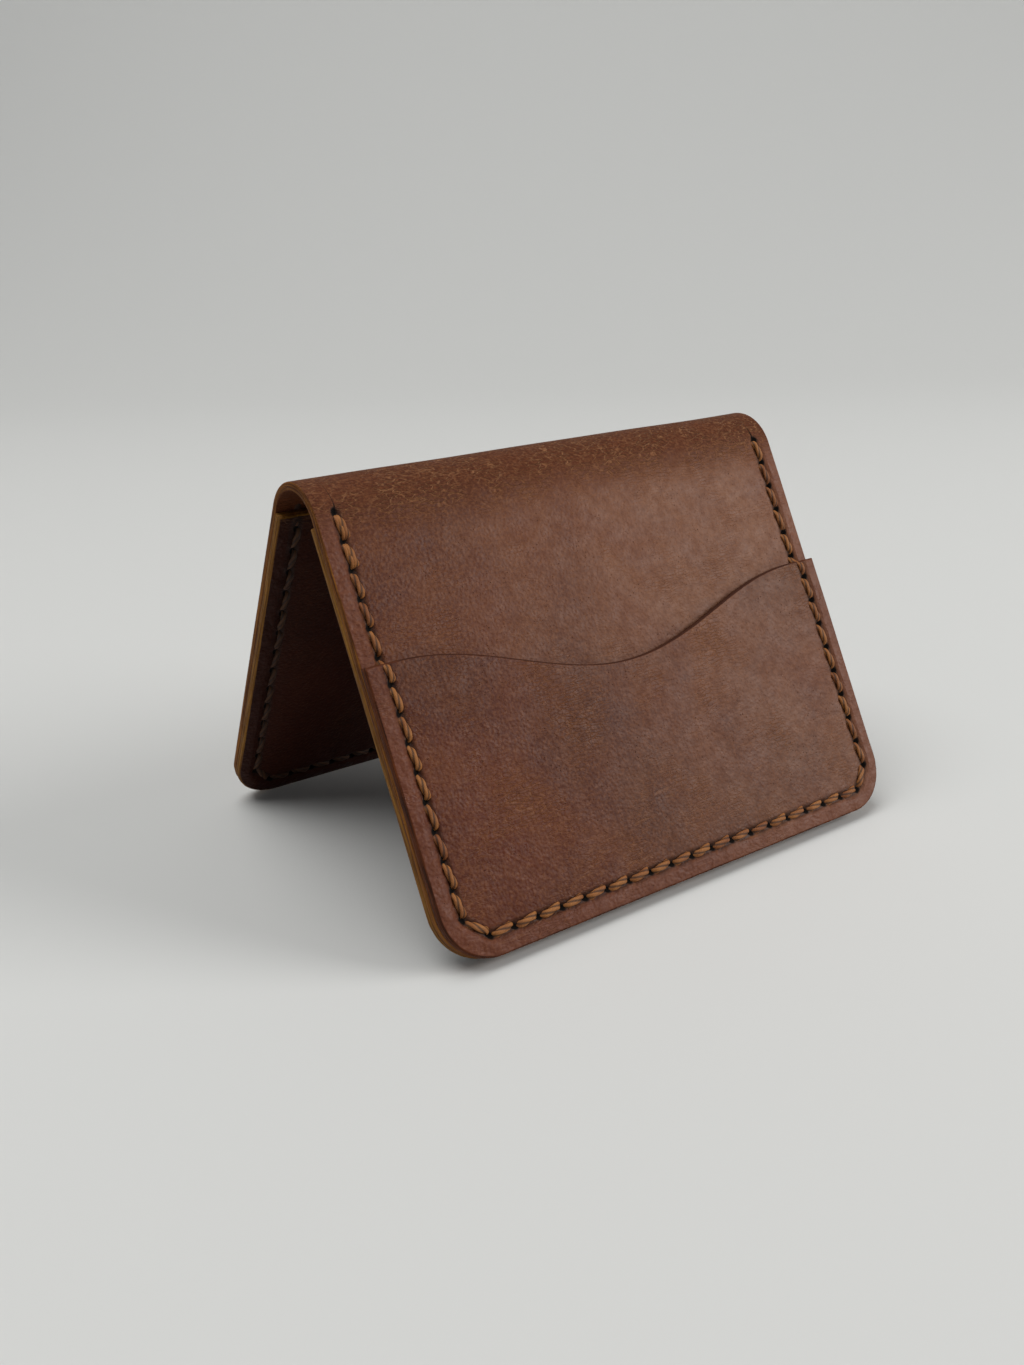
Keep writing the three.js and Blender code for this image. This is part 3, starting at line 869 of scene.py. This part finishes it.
def tube(path, beside):
    # A twisted section carried along the path. Its width lies beside the stitch line, and its radius rises
    # and falls three times round, with the crests turning steadily along the thread.
    tangent = np.gradient(path, axis=0)
    tangent = tangent / np.linalg.norm(tangent, axis=1)[:, None]
    wide = np.column_stack([beside, np.zeros(len(beside))])
    wide = wide - (wide * tangent).sum(axis=1)[:, None] * tangent
    wide = wide / np.linalg.norm(wide, axis=1)[:, None]
    high = np.cross(tangent, wide)
    run = np.concatenate([[0], np.cumsum(np.linalg.norm(np.diff(path, axis=0), axis=1))])
    turn = np.linspace(0, 2 * np.pi, thread["sides"], endpoint=False)
    ply = np.cos(thread["plies"] * turn - 2 * np.pi * run[:, None] * thread["plies"] / thread["turnLength"])
    radius = thread["radius"] * (1 + thread["plyRelief"] * ply)
    points = (path[:, None] + (radius * np.cos(turn))[..., None] * wide[:, None]
              + (radius * np.sin(turn) * thread["flattened"])[..., None] * high[:, None])
    strand = np.stack(np.broadcast_arrays(run[:, None], turn * thread["radius"], 0 * ply), axis=-1)
    index = np.arange(points.shape[0] * points.shape[1]).reshape(points.shape[:2])
    here, ahead = index[:-1], index[1:]
    quads = np.stack([here, np.roll(here, -1, axis=1), np.roll(ahead, -1, axis=1), ahead], axis=-1)
    return points.reshape(-1, 3), quads.reshape(-1, 4), strand.reshape(-1, 3), (1 - ply.ravel()) / 2, index


def makeThread(name, side):
    # Two strands through every hole, one a stitch out of step with the other, so that each stitch is
    # filled on both sides, and two short ones beside them where the first stitches are sewn twice.
    hasPocket = side < 0
    doubled, beside, rise = thread["doubled"], -thread["doubledBeside"], thread["doubledRise"]
    strands = [
        threadPath(stitchCount, 0, hasPocket, 0.0, 0.0),
        threadPath(stitchCount, 1, hasPocket, 0.0, 0.0),
        threadPath(doubled, 0, hasPocket, beside, rise),
        threadPath(doubled, 1, hasPocket, beside, rise)]
    points, faces, strandPlaces, valleys, shadesInside, offset = [], [], [], [], [], 0
    for number, (path, wide, shadeInside) in enumerate(strands):
        ring, quads, strand, valley, index = tube(path, wide)
        caps = [index[0, ::-1] + offset, index[-1] + offset]
        strand[:, 2] = number * thread["strandApart"]
        points.append(ring)
        faces += (quads + offset).tolist() + [cap.tolist() for cap in caps]
        strandPlaces.append(strand)
        valleys.append(valley)
        shadesInside.append(np.repeat(shadeInside, thread["sides"]))
        offset += len(ring)
    points = np.vstack(points)
    return newMesh(name, onLeaf(side, points[:, 0], points[:, 1], points[:, 2]), faces, linenThread,
                   {"strand": np.vstack(strandPlaces), "valley": np.concatenate(valleys),
                    "shadeInside": np.concatenate(shadesInside)})


frontThread = makeThread("frontThread", -1)
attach(frontThread, "front_leaf")
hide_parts("front_stitching")
backThread = makeThread("backThread", 1)
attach(backThread, "back_leaf")
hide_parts("back_stitching")
print("thread made", len(frontThread.data.polygons))


view = {
    "place": (-144.4, -195.7, 118.3),   # millimetres
    "azimuth": -34.68,
    "elevation": 20.60,                 # looks down by this much
    "roll": -1.58,
    "lens": 33.85,
    "sensor": 36.0,
    "nearest": 0.01,                    # metres
}
studio = {                   # metres and watts
    "paper": "d2d2cf",
    "half": 6.0,             # the paper's reach to each side
    "front": -6.0,
    "wall": 1.5,
    "curve": 0.9,
    "curveSteps": 25,
    "height": 2.4,
    "paperRoughness": 0.8,
    "keySize": 1.3, "keyPower": 16.2, "keyPlace": (-0.35, 0.2, 1.45),
    "fillSize": 0.9, "fillPower": 17.8, "fillPlace": (1.1, -1.0, 0.75),
    "aim": (0.0, 0.0, 0.04),
    "room": "c8ccd0", "roomStrength": 0.22,
}


def makeBackdrop():
    # A paper sweep: floor, quarter round and wall, as one profile carried sideways and turned to face
    # the camera.
    curve = np.linspace(0, np.pi / 2, studio["curveSteps"])
    wall, radius = studio["wall"], studio["curve"]
    away = np.concatenate([[studio["front"]], wall - radius + radius * np.sin(curve), [wall]])
    z = np.concatenate([[0.0], radius * (1 - np.cos(curve)), [studio["height"]]])
    aside = np.repeat([-studio["half"], studio["half"]], len(away))
    away, z = np.tile(away, 2), np.tile(z, 2)
    turn = math.radians(view["azimuth"])
    points = np.stack([aside * math.cos(turn) - away * math.sin(turn),
                       aside * math.sin(turn) + away * math.cos(turn), z], axis=1)
    start = np.arange(len(curve) + 1)
    quads = np.stack([start, start + len(curve) + 2, start + len(curve) + 3, start + 1], axis=1)
    mesh = bpy.data.meshes.new("backdrop")
    mesh.from_pydata(points, [], quads)
    mesh.polygons.foreach_set("use_smooth", np.ones(len(quads), dtype=bool))
    backdrop = bpy.data.objects.new("backdrop", mesh)
    bpy.context.collection.objects.link(backdrop)
    # Matt studio paper, plain and pale with no gloss.
    paper = bpy.data.materials.new("studioPaper")
    paper.use_nodes = True
    shader = paper.node_tree.nodes["Principled BSDF"]
    shader.inputs["Base Color"].default_value = hexColour(studio["paper"])
    shader.inputs["Roughness"].default_value = studio["paperRoughness"]
    mesh.materials.append(paper)


def addSoftbox(name, size, power, place):
    # A round soft light that faces the holder.
    light = bpy.data.lights.new(name, "AREA")
    light.shape = "DISK"
    light.size = size
    light.energy = power
    softbox = bpy.data.objects.new(name, light)
    softbox.location = place
    toPiece = Vector(studio["aim"]) - Vector(place)
    softbox.rotation_euler = toPiece.to_track_quat("-Z", "Y").to_euler()
    bpy.context.collection.objects.link(softbox)


makeBackdrop()
addSoftbox("keySoftbox", studio["keySize"], studio["keyPower"], studio["keyPlace"])
addSoftbox("fillSoftbox", studio["fillSize"], studio["fillPower"], studio["fillPlace"])
world = bpy.data.worlds.new("room")
world.use_nodes = True
world.node_tree.nodes["Background"].inputs["Color"].default_value = hexColour(studio["room"])
world.node_tree.nodes["Background"].inputs["Strength"].default_value = studio["roomStrength"]
bpy.context.scene.world = world
bpy.context.scene.view_settings.view_transform = "Standard"


def addCamera():
    # Built from its own axes: forward from azimuth and elevation, then turned about it by the roll.
    az, el, roll = (math.radians(view[key]) for key in ("azimuth", "elevation", "roll"))
    forward = Vector((-math.sin(az) * math.cos(el), math.cos(az) * math.cos(el), -math.sin(el)))
    right = forward.cross(Vector((0, 0, 1))).normalized()
    up = right.cross(forward)
    turnedRight = math.cos(roll) * right + math.sin(roll) * up
    turnedUp = math.cos(roll) * up - math.sin(roll) * right
    camera = bpy.data.objects.new("camera", bpy.data.cameras.new("camera"))
    axes = Matrix((turnedRight, turnedUp, -forward)).transposed()
    camera.matrix_world = Matrix.Translation(Vector(view["place"]) * mm) @ axes.to_4x4()
    camera.data.lens = view["lens"]
    camera.data.sensor_width = view["sensor"]
    camera.data.clip_start = view["nearest"]
    bpy.context.collection.objects.link(camera)
    bpy.context.scene.camera = camera


addCamera()
print("studio ready")
